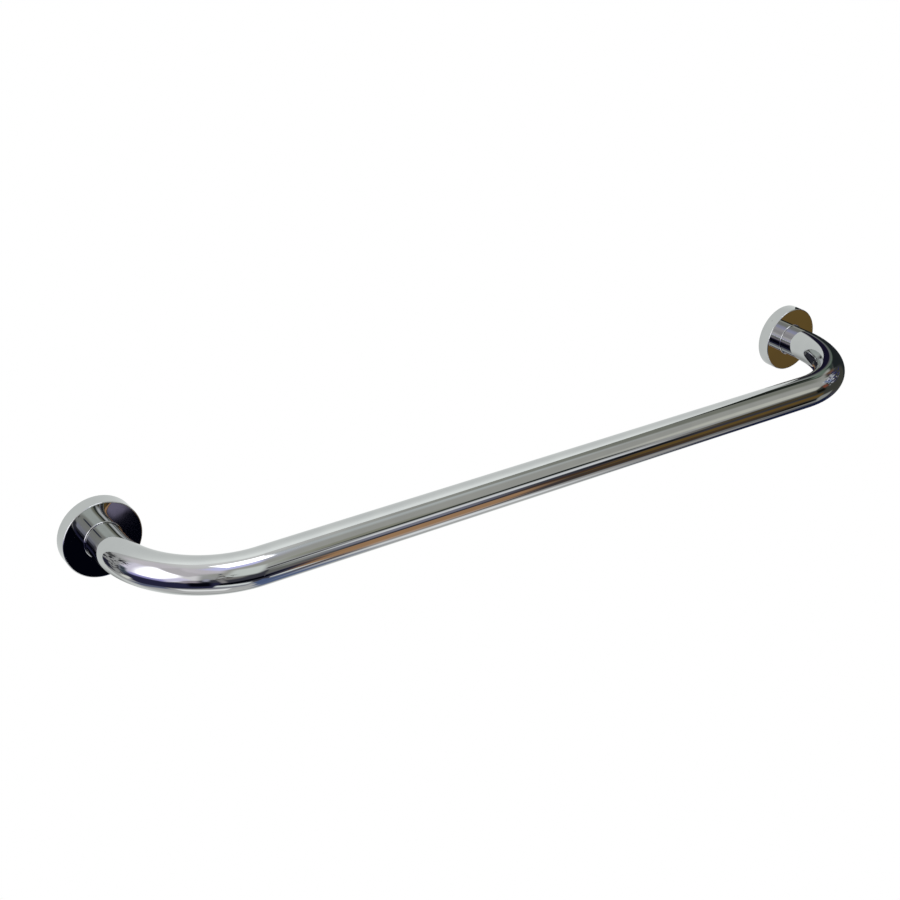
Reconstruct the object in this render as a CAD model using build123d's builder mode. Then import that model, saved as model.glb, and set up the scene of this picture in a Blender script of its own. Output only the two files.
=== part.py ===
# Grab bar for a bathroom wall: one bent tube with a mounting plate welded to each end,
# and a drawn cover over each plate that slips along the tube to bare the wall screws.
# Millimetres. X runs along the bar, Y points into the wall and Z is up.
# The origin lies on the wall, midway between the two legs of the tube.
import os

from build123d import *

# Tube
LEG_SPACING = 620.0  # between the axes of the two legs
TUBE_DIAMETER = 25.0
TUBE_WALL = 1.2
BEND_RADIUS = 70.0  # at the axis of the tube

# Covers, drawn from sheet
COVER_BRIM = 14.5  # from the surface of the tube out to the rim
COVER_DEPTH = 10.5  # from the wall to the flat face
COVER_SHEET = 0.6
COVER_INSIDE_RADIUS = 0.1  # inside the turned corner of face and skirt
COVER_TUBE_GAP = 0.2
COVER_TRAVEL = 13.0  # straight tube left in front of a seated cover

# Lip turned up around the tube in the middle of a cover
LIP_HEIGHT = 0.5  # above the flat face
LIP_EDGE = 0.2  # sheet left at the thin end of the lip

# Mounting plates, stamped, with the weld bead around the tube
PLATE_THICKNESS = 3.0
PLATE_TUBE_GAP = 0.1
WELD_LEG = 1.5
SCREW_HOLES = 3
SCREW_HOLE_DIAMETER = 5.5

# Nibs on the edge of a plate that hold its cover
NIB_RADIUS = 2.0
NIB_HEIGHT = 0.65
NIB_COVER_GAP = 0.25

# Sizes that follow from those above
TUBE_RADIUS = TUBE_DIAMETER / 2
LEG_X = LEG_SPACING / 2
COVER_HEIGHT = COVER_DEPTH + LIP_HEIGHT
PROJECTION = COVER_HEIGHT + COVER_TRAVEL + BEND_RADIUS  # wall to the axis of the bar
COVER_RADIUS = TUBE_RADIUS + COVER_BRIM
SKIRT_INNER_RADIUS = COVER_RADIUS - COVER_SHEET
PLATE_RADIUS = SKIRT_INNER_RADIUS - NIB_COVER_GAP - NIB_HEIGHT
PLATE_HOLE_RADIUS = TUBE_RADIUS + PLATE_TUBE_GAP
WELD_RADIUS = PLATE_HOLE_RADIUS + WELD_LEG
SCREW_CIRCLE_RADIUS = (WELD_RADIUS + PLATE_RADIUS) / 2
HALF_SCREW_PITCH = 180 / SCREW_HOLES  # degrees, from a screw hole to the nib beside it

# The sign of X at each leg
SIDES = {"left": -1, "right": 1}


def wall_plane(sign):
    """The wall around one leg: X points out past the end of the bar, Z away from the wall."""
    return Plane(origin=(sign * LEG_X, 0, 0), x_dir=(sign, 0, 0), z_dir=(0, -1, 0))


def section_plane(sign):
    """A cut through the axis of one leg: X is the radius, Y the height above the wall."""
    return Plane(origin=(sign * LEG_X, 0, 0), x_dir=(sign, 0, 0), z_dir=(0, 0, -sign))


def leg_axis(sign):
    """The axis of one leg, pointing away from the wall."""
    return Axis((sign * LEG_X, 0, 0), (0, -1, 0))


os.makedirs("parts", exist_ok=True)

# Tube, swept from wall to wall round both bends
with BuildPart() as tube:
    with BuildLine():
        FilletPolyline(
            (-LEG_X, 0),
            (-LEG_X, -PROJECTION),
            (LEG_X, -PROJECTION),
            (LEG_X, 0),
            radius=BEND_RADIUS,
        )
    with BuildSketch(wall_plane(SIDES["left"])):
        Circle(TUBE_RADIUS)
        Circle(TUBE_RADIUS - TUBE_WALL, mode=Mode.SUBTRACT)
    sweep()
tube.part.label = "grab_tube"
export_step(tube.part, "parts/grab_tube.step")

# Mounting plates, with one screw hole of each on the side away from the bar
for side, sign in SIDES.items():
    with BuildPart() as plate:
        with BuildSketch(wall_plane(sign)):
            Circle(PLATE_RADIUS)
            with PolarLocations(PLATE_RADIUS + NIB_HEIGHT - NIB_RADIUS, SCREW_HOLES, HALF_SCREW_PITCH):
                Circle(NIB_RADIUS)
            Circle(PLATE_HOLE_RADIUS, mode=Mode.SUBTRACT)
            with PolarLocations(SCREW_CIRCLE_RADIUS, SCREW_HOLES):
                Circle(SCREW_HOLE_DIAMETER / 2, mode=Mode.SUBTRACT)
        extrude(amount=PLATE_THICKNESS)
        with BuildSketch(section_plane(sign)):
            with BuildLine():
                Polyline(
                    (PLATE_HOLE_RADIUS, PLATE_THICKNESS),
                    (WELD_RADIUS, PLATE_THICKNESS),
                    (PLATE_HOLE_RADIUS, PLATE_THICKNESS + WELD_LEG),
                    close=True,
                )
            make_face()
        revolve(axis=leg_axis(sign))
    plate.part.label = f"{side}_mounting_plate"
    export_step(plate.part, f"parts/{plate.part.label}.step")

# Covers, each a drawn cup whose middle is turned up into a thin lip round the tube
bore_radius = TUBE_RADIUS + COVER_TUBE_GAP
lip_foot_radius = bore_radius + LIP_EDGE + LIP_HEIGHT
inside_height = COVER_DEPTH - COVER_SHEET
outside_corner = COVER_INSIDE_RADIUS + COVER_SHEET
for side, sign in SIDES.items():
    with BuildPart() as cover:
        with BuildSketch(section_plane(sign)):
            with BuildLine():
                skirt = Polyline(
                    (SKIRT_INNER_RADIUS, inside_height - COVER_INSIDE_RADIUS),
                    (SKIRT_INNER_RADIUS, 0),
                    (COVER_RADIUS, 0),
                    (COVER_RADIUS, COVER_DEPTH - outside_corner),
                )
                face = Line(
                    (COVER_RADIUS - outside_corner, COVER_DEPTH),
                    (lip_foot_radius, COVER_DEPTH),
                )
                lip = Polyline(
                    (bore_radius + LIP_EDGE, COVER_HEIGHT),
                    (bore_radius, COVER_HEIGHT),
                    (bore_radius, inside_height + LIP_HEIGHT),
                )
                ceiling = Line(
                    (bore_radius + LIP_HEIGHT, inside_height),
                    (SKIRT_INNER_RADIUS - COVER_INSIDE_RADIUS, inside_height),
                )
                RadiusArc(skirt @ 1, face @ 0, -outside_corner)
                RadiusArc(face @ 1, lip @ 0, LIP_HEIGHT)
                RadiusArc(lip @ 1, ceiling @ 0, -LIP_HEIGHT)
                RadiusArc(ceiling @ 1, skirt @ 0, COVER_INSIDE_RADIUS)
            make_face()
        revolve(axis=leg_axis(sign))
    cover.part.label = f"{side}_cover"
    export_step(cover.part, f"parts/{cover.part.label}.step")
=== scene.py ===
# Looks of the grab bar: polished chrome tube and covers, brushed steel plates, and a plain studio.
# Metres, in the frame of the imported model: X along the bar, Y into the wall, Z up.
import math

import bmesh
import bpy
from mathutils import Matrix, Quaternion, Vector


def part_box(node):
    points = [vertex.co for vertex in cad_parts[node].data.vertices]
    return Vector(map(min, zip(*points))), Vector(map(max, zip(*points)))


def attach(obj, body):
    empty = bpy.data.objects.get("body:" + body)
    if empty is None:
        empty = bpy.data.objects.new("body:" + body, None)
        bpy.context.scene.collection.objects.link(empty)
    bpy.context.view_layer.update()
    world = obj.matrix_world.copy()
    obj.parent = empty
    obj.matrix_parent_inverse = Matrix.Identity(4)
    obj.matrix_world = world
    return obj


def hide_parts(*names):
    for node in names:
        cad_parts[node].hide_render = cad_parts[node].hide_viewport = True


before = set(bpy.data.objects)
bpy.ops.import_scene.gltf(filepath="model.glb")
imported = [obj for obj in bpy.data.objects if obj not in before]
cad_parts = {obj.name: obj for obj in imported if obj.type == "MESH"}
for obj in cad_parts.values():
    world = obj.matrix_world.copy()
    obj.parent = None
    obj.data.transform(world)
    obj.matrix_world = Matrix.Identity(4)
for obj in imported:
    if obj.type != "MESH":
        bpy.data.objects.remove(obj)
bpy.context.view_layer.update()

# Sizes read from the frame
tube_low, tube_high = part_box("grab_tube")
cover_low, cover_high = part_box("right_cover")
LEG_X = (cover_low.x + cover_high.x) / 2
TUBE_RADIUS = tube_high.x - LEG_X
BAR_Y = tube_low.y + TUBE_RADIUS
COVER_RADIUS = (cover_high.x - cover_low.x) / 2
COVER_HEIGHT = cover_high.y - cover_low.y

# Sizes that a box does not show
BEND_RADIUS = 0.070
TUBE_WALL = 0.0012
COVER_SHEET = 0.0006
COVER_INSIDE_RADIUS = 0.0001
COVER_TUBE_GAP = 0.0002
LIP_HEIGHT = 0.0005
LIP_EDGE = 0.0002
PLATE_THICKNESS = 0.003
PLATE_TUBE_GAP = 0.0001
WELD_LEG = 0.0015
COVER_DEPTH = COVER_HEIGHT - LIP_HEIGHT
WELD_RADIUS = TUBE_RADIUS + PLATE_TUBE_GAP + WELD_LEG

# Fineness of the meshes
TUBE_POINTS = 128
BEND_STEPS = 72
BAR_STEPS = 24
LEG_STEPS = 4
COVER_POINTS = 192
CORNER_STEPS = 12
HOLD = 0.0001  # distance from a corner at which a flat stretch is held flat
SHARP_ANGLE = math.radians(35)

# Sides and directions
SIDES = {"left": -1, "right": 1}
RIGHT = Vector((1, 0, 0))
FORWARD = Vector((0, -1, 0))
UP = Vector((0, 0, 1))

# Noise, which lies between 0 and 1
NOISE_SPAN = (0.3, 0.7)  # where most of a noise lies
NOISE_MEAN = 0.5

# Chrome; scales are in cells of noise to a metre
CHROME_LIGHT = (0.56, 0.57, 0.565, 1)
CHROME_DARK = (0.53, 0.54, 0.54, 1)
CHROME_ROUGHNESS = (0.012, 0.04)  # where the film is thin, and where it is thick
FILM_SCALE = 60
FILM_DETAIL = 4
WAVE_SCALE = 45
WAVE_DETAIL = 1
WAVE_HEIGHT = 0.000012
DIRT_COLOUR = (0.4, 0.4, 0.4, 1)
DIRT_PLACE = (0.2910, -0.0047, 0.0192)  # on the skirt of the right cover
DIRT_REACH = 0.0007  # from the middle of the speck to where it has faded out

# Steel of the plates, with scales as on the chrome
STEEL_LIGHT = (0.6, 0.6, 0.59, 1)
STEEL_DARK = (0.44, 0.44, 0.43, 1)
STEEL_ROUGHNESS = (0.28, 0.45)  # where the grain is light, and where it is dark
GRAIN_SCALE = 1500
GRAIN_DETAIL = 3
GRAIN_STRETCH = (0.08, 1, 1)  # brushed along the bar
GRAIN_HEIGHT = 0.00001
HEAT_TINT = (0.47, 0.37, 0.22, 1)
TINT_REACH = 0.004  # from the edge of the weld
WELD_RIPPLES = 60
RIPPLE_HEIGHT = 0.0002
RIPPLE_GAP = 0.0001  # from the face of the plate up to where the ripples start

# Studio that the chrome mirrors: a pale shade for each elevation, with soft panels before it.
# Azimuth is in degrees from straight out of the wall, towards the right end of the bar; elevation is up.
# The sizes of a panel, its tilt and the softness of its edge are in degrees too.
STRAIGHT_DOWN = -90
HALF_TURN = 180
SHADES = ((-90, 0.7), (-55, 0.6), (-25, 0.4), (0, 0.45), (25, 0.55), (55, 0.75), (90, 1.0))
PANELS = (
    # name, azimuth, elevation, width, height, tilt, softness, colour
    ("dark front", 10, -24, 230, 52, 0, 3, (0.06, 0.06, 0.08)),
    # Above
    ("ceiling", 45, 42, 150, 46, 0, 6, (0.5, 0.5, 0.47)),
    ("pale blue ceiling", 52, 62, 50, 14, -15, 7, (0.66, 0.7, 0.7)),
    ("olive ceiling", 28, 24, 9, 12, 0, 3, (0.37, 0.37, 0.3)),
    ("grey above left", -70, 52, 110, 30, 0, 6, (0.85, 0.8, 0.86)),
    ("grey front", -9, -2, 20, 10, 0, 5, (0.3, 0.29, 0.28)),
    ("pale front", 4, 20, 33, 36, -20, 5, (0.88, 0.93, 0.9)),
    # Right
    ("shade above right", 94, 50, 36, 18, 0, 9, (0.27, 0.28, 0.24)),
    ("dark above right", 117, 39, 22, 12, -20, 3, (0.02, 0.025, 0.02)),
    ("dark right", 90, -4, 92, 50, 0, 3, (0.065, 0.066, 0.055)),
    ("pale ceiling", 48, 23.5, 14, 13, 25, 3, (0.74, 0.74, 0.67)),
    ("black right", 51, 3, 16, 13, 0, 3, (0.01, 0.01, 0.008)),
    ("dark shade right", 97, 26, 15, 16, 0, 3, (0.06, 0.06, 0.05)),
    ("dark far right", 118, 2, 28, 50, 0, 4, (0.02, 0.025, 0.028)),
    ("green right", 120, 31, 27, 5, -42, 2, (0.2, 0.26, 0.21)),
    ("green shade right", 115, 26.5, 20, 3, -5, 1.2, (0.04, 0.06, 0.05)),
    ("brown right", 103, 29, 11, 8, 10, 2.5, (0.2, 0.11, 0.07)),
    ("red brown right", 62, 13, 8, 11, 0, 2, (0.28, 0.085, 0.05)),
    ("blue grey right", 74, 21, 8, 15, 0, 2, (0.23, 0.29, 0.47)),
    ("pale lilac right", 84, 22, 12, 8, -8, 2, (0.55, 0.57, 0.62)),
    ("olive right", 47, -18, 20, 14, 0, 2.5, (0.18, 0.112, 0.033)),
    ("grey low right", 67, -32, 22, 20, 0, 3, (0.37, 0.38, 0.37)),
    ("navy low right", 99, -43.5, 46, 17, 0, 5, (0.01, 0.017, 0.055)),
    ("black low right", 56, -34, 4, 14, 42, 1.5, (0.006, 0.006, 0.006)),
    # Before the bar
    ("dark smudge", 30.5, 17, 9, 7, 22, 1.5, (0.055, 0.065, 0.055)),
    ("black spot", 36, 18.5, 6, 7, 15, 1.3, (0.012, 0.02, 0.02)),
    ("white bar", 30.5, 6, 14.5, 9, 14, 1.8, (0.98, 1.0, 1.04)),
    ("dark edge", 23, 9.5, 5, 6, 0, 1.5, (0.08, 0.08, 0.085)),
    ("grey edge", 23.5, -3, 4, 10, 0, 2, (0.42, 0.43, 0.39)),
    ("olive edge", 22.5, -15, 6, 15, 0, 2.5, (0.2, 0.2, 0.19)),
    ("lavender", 28, -5, 7, 12, 0, 2.5, (0.3, 0.3, 0.38)),
    ("black below", 37.3, -5.5, 4, 9, 0, 1.6, (0.008, 0.01, 0.014)),
    ("brown", 42.5, 4, 6, 12, 0, 2, (0.09, 0.07, 0.04)),
    ("tan", 34, -32, 11, 27, 18, 1.5, (0.53, 0.31, 0.165)),
    ("dark diagonal", 35.5, -15, 3, 11, 29, 1.2, (0.09, 0.05, 0.035)),
    ("dark brown", 47, -32, 10, 14, 25, 2.5, (0.09, 0.055, 0.03)),
    ("pink tan", 42, -45, 8, 11, 25, 1.5, (0.6, 0.43, 0.34)),
    ("navy edge", 25, -31, 5, 18, 12, 1.5, (0.07, 0.07, 0.13)),
    ("pale line low", 33.5, -45.5, 8, 3, -45, 1, (0.95, 1.0, 1.0)),
    ("grey low middle", 66, -49, 32, 9, -8, 3, (0.47, 0.46, 0.45)),
    ("pale low right", 70, -57.5, 32, 9, -8, 3, (1.1, 1.12, 1.15)),
    ("blue low", 82, -68.5, 76, 9, 0, 2.5, (0.14, 0.19, 0.35)),
    ("blue low edge", 38, -59.5, 42, 14, -28, 2, (0.12, 0.17, 0.33)),
    ("dark streak low", 43, -53, 9, 4, -35, 1.3, (0.12, 0.08, 0.08)),
    # Left
    ("pale left", -48, 14, 20, 28, 0, 4, (1.05, 1.02, 1.05)),
    ("pink grey left", -46, -8, 16, 14, 0, 4, (0.5, 0.44, 0.5)),
    ("lilac beyond left", -101, 15, 16, 52, 0, 5, (1.0, 0.95, 1.12)),
    ("large soft light", -75, 18, 38, 56, 0, 6, (2.6, 2.55, 2.7)),
    ("grey by light", -62, 43, 50, 20, -35, 3, (0.74, 0.7, 0.74)),
    ("lavender by light", -61, -2, 34, 14, 46, 4, (0.98, 0.93, 1.2)),
    ("violet left", -84, -12, 34, 12, 0, 4, (0.5, 0.47, 0.9)),
    ("navy left", -66, -33, 92, 34, 0, 4, (0.03, 0.03, 0.075)),
    ("black left", -38, -24, 20, 24, 0, 3, (0.003, 0.003, 0.008)),
    ("grey strip", -32, 2, 5, 14, 0, 2, (0.5, 0.5, 0.62)),
    ("navy above front", -19.8, 28.4, 3, 5, -45, 1, (0.05, 0.06, 0.11)),
    ("pale strip", -19, -10, 5, 24, 12, 1.5, (0.35, 0.33, 0.34)),
    ("black low front", 3, -31, 48, 12, 0, 2.5, (0.001, 0.0015, 0.005)),
    ("pale low front", -7, -45.5, 38, 11, -14, 2, (1.0, 1.05, 1.05)),
    ("grey low front", -8, -56.5, 50, 9, -6, 3, (0.36, 0.36, 0.42)),
    ("pale low left", -38, -67, 70, 13, -8, 3, (1.25, 1.25, 1.25)),
    ("blue grey low left", -105, -54, 50, 10, 0, 4, (0.14, 0.16, 0.27)),
    ("lilac patch", 19.7, -27.4, 1.1, 2.2, 25, 0.1, (0.2, 0.18, 0.27)),
    # Beside the wall
    ("pale beyond left", -116, -37.5, 18, 7, 32, 2, (1.0, 1.0, 0.93)),
    ("dark grey beyond left", -127, 20, 9, 11, 0, 3, (0.09, 0.09, 0.09)),
    ("dark beyond left", -128, -17, 9, 24, 0, 2, (0.02, 0.02, 0.05)),
    ("blue beyond left", -107, -8, 8, 24, 0, 3, (0.1, 0.13, 0.17)),
    ("navy beyond right", 144, 4, 22, 72, 0, 3, (0.012, 0.01, 0.03)),
)
# Panels overhead, placed in a level plane: across and forward from straight above, as shares of its height
OVERHEAD = (
    # name, across, forward, width, depth, tilt in degrees, softness, colour
    ("lilac overhead", 0.05, 0.55, 0.72, 0.5, -8, 0.12, (0.85, 0.85, 1.3)),
    ("overhead light", 0.1595, 0.29, 0.524, 0.39, -8, 0.006, (3.0, 3.0, 3.1)),
)
# Panels that are broken up into specks
SPECKS = (
    ("dark specks left", -122, -2, 34, 60, 0, 4, (0.04, 0.04, 0.05)),
    ("grey specks front", -16, 8, 18, 26, 0, 4, (0.2, 0.19, 0.18)),
    ("white specks right", 80, 17, 26, 24, 0, 4, (0.85, 0.86, 0.95)),
    ("navy specks right", 88, 18, 30, 26, 20, 4, (0.03, 0.03, 0.14)),
)
SPECKS_SCALE = 12
SPECKS_DETAIL = 2
SPECKS_EDGE = (0.52, 0.6)  # noise at which a speck starts, and at which it is whole
WAVER = 1.0  # degrees that the edge of a panel wanders to either side
WAVER_SCALE = 8
WAVER_DETAIL = 4
LOWEST = 0.01  # upward share of a direction below which the level plane is not met
LIGHT_MAP = 256  # fineness of the map from which the light of the studio is sampled
WHITE = (1, 1, 1, 1)

# Wall behind the bar, seen only in the chrome
WALL_BACK = 0.0005  # behind the plane that the plates stand on
WALL_LEFT = -0.362
WALL_RIGHT = 0.324
WALL_LOW = -0.5
WALL_HIGH = 0.75
WALL_CUT = (0.1, -0.15)  # where the slanting cut of the lower right corner starts, along and up
WALL_COLOUR = (0.97, 1, 0.99, 1)
SHADOW_Z = -0.05  # middle of the painted soft shadow under each cover
SHADOW_REACH = 0.045
SHADOW_LIGHT = 0.4  # light left in the middle of the shadow
# Smooth steps in the light of the wall: between two heights, with the light below and above
WALL_STEPS = ((-0.45, -0.1, 0.45, 1.0), (0, 0.3, 0.83, 1.25))

# Floor
FLOOR_Z = -0.9
FLOOR_HALF = 4.0
FLOOR_COLOUR = (0.9, 0.9, 0.9, 1)

# Camera at the photograph's viewpoint
CAMERA_PLACE = Vector((-0.5878, -0.8119, 0.4832))
CAMERA_AIM = Vector((-0.0679, -0.05, 0.015))
CAMERA_ROLL = math.radians(0.65)
CAMERA_LENS = 59.0
CAMERA_SENSOR = 36.0


# Meshes
def ring(centre, across, along, radius, points):
    """Points on a circle in the plane of two unit vectors."""
    turns = [2 * math.pi * i / points for i in range(points)]
    return [centre + radius * (math.cos(t) * across + math.sin(t) * along) for t in turns]


def add_object(name, data):
    """A new object in the scene."""
    added = bpy.data.objects.new(name, data)
    bpy.context.scene.collection.objects.link(added)
    return added


def skin(name, rings):
    """A closed mesh over a loop of rings that have as many points each."""
    points = len(rings[0])
    faces = []
    for i in range(len(rings)):
        here = i * points
        there = (i + 1) % len(rings) * points
        for k in range(points):
            after = (k + 1) % points
            faces.append((here + k, here + after, there + after, there + k))
    mesh = bpy.data.meshes.new(name)
    mesh.from_pydata([p for one in rings for p in one], [], faces)
    work = bmesh.new()
    work.from_mesh(mesh)
    bmesh.ops.recalc_face_normals(work, faces=work.faces)
    work.to_mesh(mesh)
    work.free()
    mesh.shade_smooth()
    mesh.set_sharp_from_angle(angle=SHARP_ANGLE)
    return add_object(name, mesh)


def tube_stations():
    """Places along the tube's axis, wall to wall, each with the outward direction in the bends' plane."""
    bend_x = LEG_X - BEND_RADIUS
    bend_y = BAR_Y + BEND_RADIUS
    right_end = [(Vector((LEG_X, bend_y * i / LEG_STEPS, 0)), RIGHT) for i in range(LEG_STEPS)]
    for i in range(BEND_STEPS + 1):
        turn = math.radians(90 * i / BEND_STEPS)
        out = math.cos(turn) * RIGHT + math.sin(turn) * FORWARD
        right_end.append((Vector((bend_x, bend_y, 0)) + BEND_RADIUS * out, out))
    mirror = Vector((-1, 1, 1))
    left_end = [(at * mirror, out * mirror) for at, out in right_end]
    bar = [(Vector((bend_x * (2 * i / BAR_STEPS - 1), BAR_Y, 0)), FORWARD) for i in range(1, BAR_STEPS)]
    return left_end + bar + right_end[::-1]


def make_tube():
    """The bent tube with its bore, open at the wall."""
    outside = [ring(at, out, UP, TUBE_RADIUS, TUBE_POINTS) for at, out in tube_stations()]
    inside = [ring(at, out, UP, TUBE_RADIUS - TUBE_WALL, TUBE_POINTS) for at, out in tube_stations()]
    return skin("polished_tube", outside + inside[::-1])


def corner(centre_radius, centre_height, radius, start, end):
    """A rounded corner in a cover's section as (radius, height) points, between two angles in degrees."""
    angles = [math.radians(start + (end - start) * i / CORNER_STEPS) for i in range(CORNER_STEPS + 1)]
    return [(centre_radius + radius * math.cos(a), centre_height + radius * math.sin(a)) for a in angles]


def cover_section():
    """The section of a cover as a loop of (radius, height above the wall) points."""
    skirt = COVER_RADIUS - COVER_SHEET
    ceiling = COVER_DEPTH - COVER_SHEET
    outer = COVER_INSIDE_RADIUS + COVER_SHEET
    bore = TUBE_RADIUS + COVER_TUBE_GAP
    lip_foot = bore + LIP_EDGE + LIP_HEIGHT
    lip_round = LIP_EDGE / 2
    loop = [(skirt, 0), (COVER_RADIUS, 0), (COVER_RADIUS, COVER_DEPTH - outer - HOLD)]
    loop += corner(COVER_RADIUS - outer, COVER_DEPTH - outer, outer, 0, 90)
    loop += [(COVER_RADIUS - outer - HOLD, COVER_DEPTH), (lip_foot + HOLD, COVER_DEPTH)]
    loop += corner(lip_foot, COVER_HEIGHT, LIP_HEIGHT, 270, 180)[:-1]
    loop += corner(bore + lip_round, COVER_HEIGHT - lip_round, lip_round, 0, 180)
    loop += corner(bore + LIP_HEIGHT, ceiling + LIP_HEIGHT, LIP_HEIGHT, 180, 270)
    loop += [(bore + LIP_HEIGHT + HOLD, ceiling), (skirt - COVER_INSIDE_RADIUS - HOLD, ceiling)]
    loop += corner(skirt - COVER_INSIDE_RADIUS, ceiling - COVER_INSIDE_RADIUS, COVER_INSIDE_RADIUS, 90, 0)
    loop += [(skirt, ceiling - COVER_INSIDE_RADIUS - HOLD)]
    return loop


def make_cover(side, sign):
    """One drawn cover around its leg."""
    rings = []
    for radius, height in cover_section():
        rings.append(ring(Vector((sign * LEG_X, -height, 0)), RIGHT, UP, radius, COVER_POINTS))
    return skin(f"polished_{side}_cover", rings)


# Nodes
def feed(tree, socket, value):
    """Sets a socket to a plain value, or links it to another node's output."""
    if isinstance(value, bpy.types.NodeSocket):
        tree.links.new(value, socket)
    else:
        socket.default_value = value


def maths(tree, operation, *values):
    """Arithmetic on plain numbers or outputs."""
    node = tree.nodes.new("ShaderNodeMath")
    node.operation = operation
    for socket, value in zip(node.inputs, values):
        feed(tree, socket, value)
    return node.outputs[0]


def vector_maths(tree, operation, *values):
    """Arithmetic on vectors, which gives a number or a vector."""
    node = tree.nodes.new("ShaderNodeVectorMath")
    node.operation = operation
    for socket, value in zip(node.inputs, values):
        feed(tree, socket, value)
    return node.outputs["Value" if operation in ("DISTANCE", "DOT_PRODUCT", "LENGTH") else "Vector"]


def parts_of(tree, vector):
    """The three numbers of a vector."""
    node = tree.nodes.new("ShaderNodeSeparateXYZ")
    tree.links.new(vector, node.inputs[0])
    return node.outputs


def vector_of(tree, *values):
    """A vector of up to three numbers, with 0 for the rest."""
    node = tree.nodes.new("ShaderNodeCombineXYZ")
    for socket, value in zip(node.inputs, values):
        feed(tree, socket, value)
    return node.outputs[0]


def rise(tree, value, low, high, to_low=0.0, to_high=1.0):
    """A smooth step from to_low, below low, to to_high, above high."""
    node = tree.nodes.new("ShaderNodeMapRange")
    node.interpolation_type = "SMOOTHSTEP"
    for socket, item in zip(node.inputs, (value, low, high, to_low, to_high)):
        feed(tree, socket, item)
    return node.outputs[0]


def blend_colour(tree, factor, first, second):
    """One colour where the factor is 0, another where it is 1."""
    node = tree.nodes.new("ShaderNodeMix")
    node.data_type = "RGBA"
    feed(tree, node.inputs["Factor"], factor)
    colours = [socket for socket in node.inputs if socket.type == "RGBA"]
    for socket, value in zip(colours, (first, second)):
        feed(tree, socket, value)
    return next(socket for socket in node.outputs if socket.type == "RGBA")


def blend_shaders(tree, factor, first, second):
    """One shader where the factor is 0, another where it is 1."""
    node = tree.nodes.new("ShaderNodeMixShader")
    for socket, value in zip(node.inputs, (factor, first, second)):
        tree.links.new(value, socket)
    return node.outputs[0]


def noise(tree, place, scale, detail, output="Fac"):
    """Even noise around a place."""
    node = tree.nodes.new("ShaderNodeTexNoise")
    feed(tree, node.inputs["Vector"], place)
    node.inputs["Scale"].default_value = scale
    node.inputs["Detail"].default_value = detail
    return node.outputs[output]


def bump(tree, height, distance, under=None):
    """A surface raised by up to a distance, over another bump if one is given."""
    node = tree.nodes.new("ShaderNodeBump")
    node.inputs["Distance"].default_value = distance
    tree.links.new(height, node.inputs["Height"])
    if under:
        tree.links.new(under, node.inputs["Normal"])
    return node.outputs[0]


def to_camera(tree):
    """1 where the camera itself looks, 0 where light or a reflection does."""
    return tree.nodes.new("ShaderNodeLightPath").outputs["Is Camera Ray"]


def beside_leg(tree, place):
    """Where a place lies from the axis of the nearer leg: outwards along the bar, 0, and up."""
    x, _, z = parts_of(tree, place)
    return vector_of(tree, maths(tree, "SUBTRACT", maths(tree, "ABSOLUTE", x), LEG_X), 0.0, z)


# Materials
def new_material(name):
    """A material with its node tree and its shader."""
    material = bpy.data.materials.new(name)
    material.use_nodes = True
    tree = material.node_tree
    return material, tree, tree.nodes["Principled BSDF"]


def chrome_material():
    """Polished chrome plate with a faint waviness, a thin uneven film and a speck of dirt."""
    material, tree, shader = new_material("polished_chrome")
    place = tree.nodes.new("ShaderNodeTexCoord").outputs["Object"]
    shader.inputs["Metallic"].default_value = 1
    film = rise(tree, noise(tree, place, FILM_SCALE, FILM_DETAIL), *NOISE_SPAN)
    clean = blend_colour(tree, film, CHROME_LIGHT, CHROME_DARK)
    from_dirt = vector_maths(tree, "DISTANCE", place, DIRT_PLACE)
    dirt = rise(tree, from_dirt, DIRT_REACH / 2, DIRT_REACH, 1.0, 0.0)
    tree.links.new(blend_colour(tree, dirt, clean, DIRT_COLOUR), shader.inputs["Base Color"])
    tree.links.new(rise(tree, film, 0.0, 1.0, *CHROME_ROUGHNESS), shader.inputs["Roughness"])
    waves = noise(tree, place, WAVE_SCALE, WAVE_DETAIL)
    tree.links.new(bump(tree, waves, WAVE_HEIGHT), shader.inputs["Normal"])
    return material


def steel_material():
    """Stamped steel, brushed along the bar, with a rippled weld and a heat tint around it."""
    material, tree, shader = new_material("satin_steel")
    place = tree.nodes.new("ShaderNodeTexCoord").outputs["Object"]
    shader.inputs["Metallic"].default_value = 1
    stretched = vector_maths(tree, "MULTIPLY", place, GRAIN_STRETCH)
    grain = rise(tree, noise(tree, stretched, GRAIN_SCALE, GRAIN_DETAIL), *NOISE_SPAN)
    brushed = blend_colour(tree, grain, STEEL_LIGHT, STEEL_DARK)
    spot = beside_leg(tree, place)
    radius = vector_maths(tree, "LENGTH", spot)
    tint = rise(tree, radius, WELD_RADIUS, WELD_RADIUS + TINT_REACH, 1.0, 0.0)
    tree.links.new(blend_colour(tree, tint, brushed, HEAT_TINT), shader.inputs["Base Color"])
    tree.links.new(rise(tree, grain, 0.0, 1.0, *STEEL_ROUGHNESS), shader.inputs["Roughness"])
    out, _, up = parts_of(tree, spot)
    turns = maths(tree, "MULTIPLY", maths(tree, "ARCTAN2", up, out), WELD_RIPPLES)
    on_weld = maths(tree, "LESS_THAN", parts_of(tree, place)[1], -PLATE_THICKNESS - RIPPLE_GAP)
    ripples = maths(tree, "MULTIPLY", maths(tree, "SINE", turns), on_weld)
    raised = bump(tree, ripples, RIPPLE_HEIGHT, bump(tree, grain, GRAIN_HEIGHT))
    tree.links.new(raised, shader.inputs["Normal"])
    return material


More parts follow.
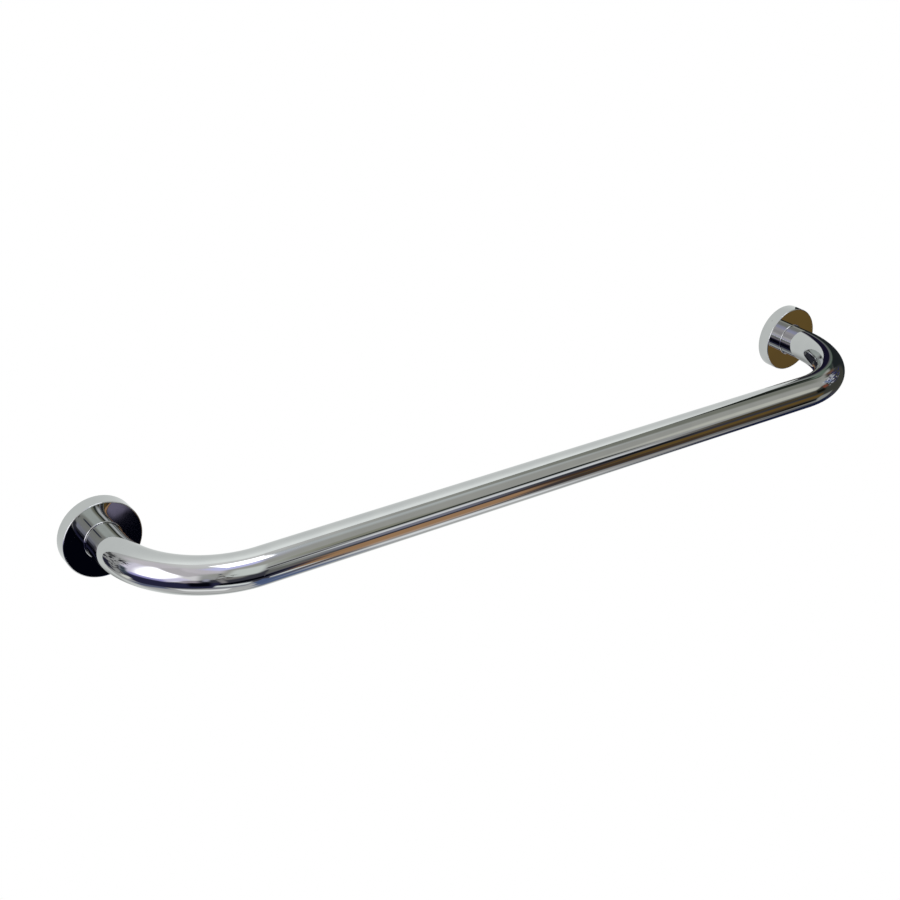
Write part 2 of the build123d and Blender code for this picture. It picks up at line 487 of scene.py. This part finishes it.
# Studio
def shades_by_elevation(tree, elevation):
    """The plain studio behind the panels. The first and the last shade take the stops at the ramp's ends."""
    ramp = tree.nodes.new("ShaderNodeValToRGB")
    stops = ramp.color_ramp.elements
    for height, _ in SHADES[1:-1]:
        stops.new((height - STRAIGHT_DOWN) / HALF_TURN)
    for stop, (_, shade) in zip(stops, SHADES):
        stop.color = (shade, shade, shade, 1)
    share = maths(tree, "DIVIDE", maths(tree, "SUBTRACT", elevation, STRAIGHT_DOWN), HALF_TURN)
    tree.links.new(share, ramp.inputs[0])
    return ramp.outputs[0]


def panel_mask(tree, place, across, up, width, height, tilt, softness):
    """How much of a soft-edged panel lies at a place, from 0 to 1."""
    offset = vector_maths(tree, "SUBTRACT", place, (across, up, 0))
    cos = math.cos(math.radians(tilt))
    sin = math.sin(math.radians(tilt))
    inside = []
    for axis, half in (((cos, sin, 0), width / 2), ((-sin, cos, 0), height / 2)):
        away = maths(tree, "ABSOLUTE", vector_maths(tree, "DOT_PRODUCT", offset, axis))
        inside.append(rise(tree, away, half - softness, half + softness, 1.0, 0.0))
    return maths(tree, "MULTIPLY", *inside)


def lay_panels(tree, colour, place, panels):
    """A colour with panels laid over it, the last of them on top."""
    for name, *shape, paint in panels:
        colour = blend_colour(tree, panel_mask(tree, place, *shape), colour, (*paint, 1))
        colour.node.label = name
    return colour


def lay_specks(tree, colour, place, ray):
    """A colour with the specks laid over it, each panel of them broken up by noise from another spot."""
    for i, (name, *shape, paint) in enumerate(SPECKS):
        apart = vector_maths(tree, "ADD", ray, (i, 0, 0))
        broken = rise(tree, noise(tree, apart, SPECKS_SCALE, SPECKS_DETAIL), *SPECKS_EDGE)
        mask = maths(tree, "MULTIPLY", broken, panel_mask(tree, place, *shape))
        colour = blend_colour(tree, mask, colour, (*paint, 1))
        colour.node.label = name
    return colour


def studio_colour(tree):
    """What a ray meets in the studio: the shades with all panels over them."""
    ray = tree.nodes.new("ShaderNodeTexCoord").outputs["Generated"]
    right, back, up = parts_of(tree, ray)
    forward = maths(tree, "MULTIPLY", back, -1.0)
    azimuth = maths(tree, "DEGREES", maths(tree, "ARCTAN2", right, forward))
    elevation = maths(tree, "DEGREES", maths(tree, "ARCSINE", up))
    cloud = noise(tree, ray, WAVER_SCALE, WAVER_DETAIL, "Color")
    sway = vector_maths(tree, "SUBTRACT", cloud, (NOISE_MEAN, NOISE_MEAN, NOISE_MEAN))
    waver = vector_maths(tree, "MULTIPLY", sway, (2 * WAVER, 2 * WAVER, 0))
    direction = vector_maths(tree, "ADD", vector_of(tree, azimuth, elevation), waver)
    height = maths(tree, "MAXIMUM", up, LOWEST)
    level = vector_of(tree, maths(tree, "DIVIDE", right, height), maths(tree, "DIVIDE", forward, height))
    colour = lay_panels(tree, shades_by_elevation(tree, elevation), direction, PANELS)
    colour = lay_panels(tree, colour, level, OVERHEAD)
    return lay_specks(tree, colour, direction, ray)


def make_world():
    """Plain white to the camera; to everything else the studio."""
    world = bpy.data.worlds.new("studio")
    bpy.context.scene.world = world
    world.use_nodes = True
    world.cycles.sampling_method = "MANUAL"
    world.cycles.sample_map_resolution = LIGHT_MAP
    tree = world.node_tree
    studio = tree.nodes["Background"]
    tree.links.new(studio_colour(tree), studio.inputs["Color"])
    plain = tree.nodes.new("ShaderNodeBackground")
    plain.inputs["Color"].default_value = WHITE
    seen = blend_shaders(tree, to_camera(tree), studio.outputs[0], plain.outputs[0])
    tree.links.new(seen, tree.nodes["World Output"].inputs["Surface"])


def stage_plane(name, corners):
    """A flat sheet of the stage."""
    mesh = bpy.data.meshes.new(name)
    mesh.from_pydata(corners, [], [range(len(corners))])
    plane = add_object(name, mesh)
    return plane


def make_wall():
    """A pale wall, open behind each cover, that stops short of the right-hand end; a soft shadow under each
    cover is painted into its glow.
    """
    cut_x, cut_z = WALL_CUT
    right = ((cut_x, WALL_LOW), (WALL_RIGHT, cut_z), (WALL_RIGHT, WALL_HIGH))
    sides = ((WALL_LEFT, WALL_LOW), *right, (WALL_LEFT, WALL_HIGH))
    wall = stage_plane("wall", [(x, WALL_BACK, z) for x, z in sides])
    wall.visible_camera = wall.visible_diffuse = wall.visible_shadow = False
    material, tree, shader = new_material("white_wall")
    place = tree.nodes.new("ShaderNodeNewGeometry").outputs["Position"]
    z = parts_of(tree, place)[2]
    spot = beside_leg(tree, place)
    # Painted shadow: the wall's glow is dimmed in a soft round patch under each cover
    from_shadow = vector_maths(tree, "DISTANCE", spot, (0, 0, SHADOW_Z))
    light = rise(tree, from_shadow, 0, SHADOW_REACH, SHADOW_LIGHT, 1.0)
    for step in WALL_STEPS:
        light = maths(tree, "MULTIPLY", light, rise(tree, z, *step))
    glow = tree.nodes.new("ShaderNodeEmission")
    tree.links.new(light, glow.inputs["Strength"])
    glow.inputs["Color"].default_value = WALL_COLOUR
    clear = tree.nodes.new("ShaderNodeBsdfTransparent")
    past_cover = maths(tree, "GREATER_THAN", vector_maths(tree, "LENGTH", spot), COVER_RADIUS)
    seen = blend_shaders(tree, past_cover, clear.outputs[0], glow.outputs[0])
    tree.links.new(seen, tree.nodes["Material Output"].inputs["Surface"])
    tree.nodes.remove(shader)
    wall.data.materials.append(material)


def make_floor():
    """Plain pale floor, far below the bar, white to the camera and not mirrored."""
    sides = ((-1, -1), (1, -1), (1, 1), (-1, 1))
    floor = stage_plane("floor", [(FLOOR_HALF * x, FLOOR_HALF * y, FLOOR_Z) for x, y in sides])
    floor.visible_glossy = False
    material, tree, shader = new_material("pale_floor")
    shader.inputs["Base Color"].default_value = FLOOR_COLOUR
    glow = tree.nodes.new("ShaderNodeEmission")
    seen = blend_shaders(tree, to_camera(tree), shader.outputs[0], glow.outputs[0])
    tree.links.new(seen, tree.nodes["Material Output"].inputs["Surface"])
    floor.data.materials.append(material)


def make_camera():
    """The camera, aimed from its place and rolled a little."""
    camera = add_object("camera", bpy.data.cameras.new("camera"))
    camera.data.lens = CAMERA_LENS
    camera.data.sensor_width = CAMERA_SENSOR
    camera.location = CAMERA_PLACE
    camera.rotation_mode = "QUATERNION"
    aim = (CAMERA_AIM - CAMERA_PLACE).to_track_quat("-Z", "Y")
    camera.rotation_quaternion = aim @ Quaternion((0, 0, 1), CAMERA_ROLL)
    bpy.context.scene.camera = camera


# Pieces
chrome = chrome_material()
steel = steel_material()

tube = make_tube()
tube.data.materials.append(chrome)
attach(tube, "rail")
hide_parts("grab_tube")

for side, sign in SIDES.items():
    cover = make_cover(side, sign)
    cover.data.materials.append(chrome)
    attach(cover, f"{side}_cover")
    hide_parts(f"{side}_cover")
    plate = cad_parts[f"{side}_mounting_plate"]
    plate.data.materials.clear()
    plate.data.materials.append(steel)

# Stage and camera
make_world()
make_wall()
make_floor()
make_camera()
bpy.context.scene.view_settings.view_transform = "Standard"
